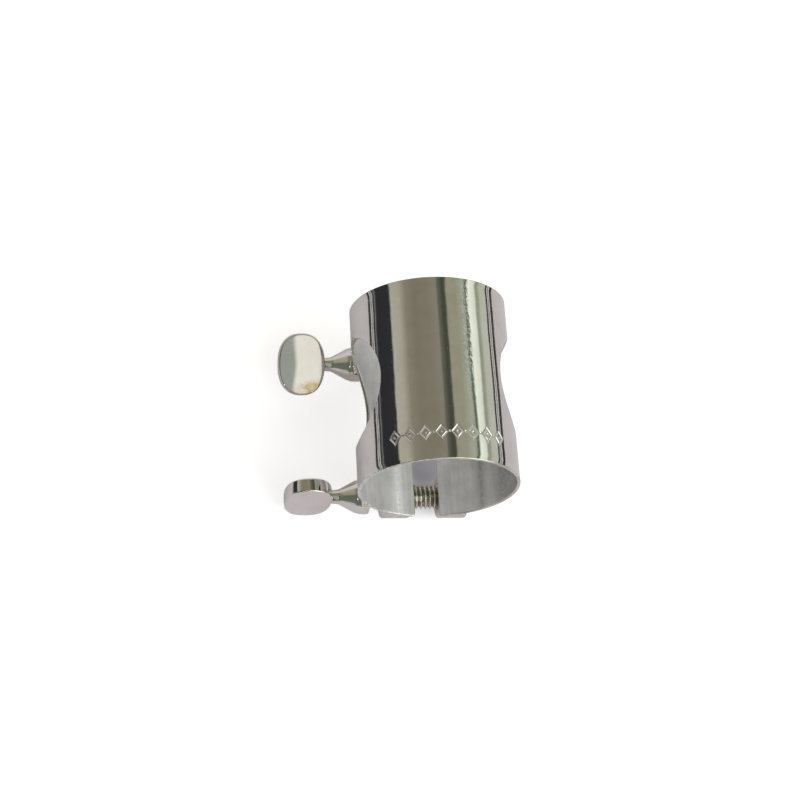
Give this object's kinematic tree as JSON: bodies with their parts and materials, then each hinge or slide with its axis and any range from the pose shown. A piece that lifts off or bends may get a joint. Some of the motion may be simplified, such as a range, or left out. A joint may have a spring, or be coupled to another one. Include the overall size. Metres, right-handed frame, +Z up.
{
  "type": "saxophone ligature",
  "caption": "Slit metal sleeve with side windows, clamped by thumbscrews through pairs of lugs, to hold a reed on a mouthpiece.",
  "frame": {"origin": "middle of the underside of the whole object's box, on the surface that it lies on", "axes": "+Y along the sleeve from its wide end to its narrow end; +Z up, away from the slit and lugs; +X along the screws, away from their paddles, but for the 3.4 degrees about +Y that the object leans as it lies"},
  "size_m": [0.0296, 0.0268, 0.0262],
  "materials": {
    "sleeve_plate": "silver-plated brass sheet, polished outside, satin inside",
    "lug_plate": "silver-plated brass, polished, dull in the corners",
    "screw_plate": "plated brass, polished, yellowed at the paddle's rim where the plate is worn"
  },
  "bodies": {
    "sleeve_and_plain_lugs": {"sleeve": "sleeve_plate", "plain_lug_front": "lug_plate", "plain_lug_rear": "lug_plate"},
    "threaded_lugs": {"threaded_lug_front": "lug_plate", "threaded_lug_rear": "lug_plate"},
    "front_shoulder": {"screw_shoulder_front": "screw_plate"},
    "front_thumbscrew": {"thumb_paddle_front": "screw_plate", "screw_rod_front": "screw_plate"},
    "rear_shoulder": {"screw_shoulder_rear": "screw_plate"},
    "rear_thumbscrew": {"thumb_paddle_rear": "screw_plate", "screw_rod_rear": "screw_plate"}
  },
  "joints": [
    {"name": "sleeve_squeeze", "type": "slide", "parent": "sleeve_and_plain_lugs", "child": "threaded_lugs", "axis": [-0.9982, 0, 0.0594], "range_m": [0, 0.0015], "stiffness_N_per_m": 400, "deforming": ["sleeve"]},
    {"name": "front_screw_travel", "type": "slide", "parent": "threaded_lugs", "child": "front_shoulder", "axis": [0.9982, 0, -0.0594], "range_m": [-0.003, 0.0015]},
    {"name": "front_screw_turn", "type": "hinge", "parent": "front_shoulder", "child": "front_thumbscrew", "pos_m": [0.0036, -0.00967, 0.00321], "axis": [0.9982, 0, -0.0594], "range_deg": [-1800, 900]},
    {"name": "rear_screw_travel", "type": "slide", "parent": "threaded_lugs", "child": "rear_shoulder", "axis": [0.9982, 0, -0.0594], "range_m": [-0.003, 0.0015]},
    {"name": "rear_screw_turn", "type": "hinge", "parent": "rear_shoulder", "child": "rear_thumbscrew", "pos_m": [0.0036, 0.00938, 0.00321], "axis": [0.9982, 0, -0.0594], "range_deg": [-1800, 900]}
  ],
  "couplings": [
    {"joint": "front_screw_turn", "follows": "front_screw_travel", "rad_per_m": 10472},
    {"joint": "rear_screw_turn", "follows": "rear_screw_travel", "rad_per_m": 10472}
  ]
}
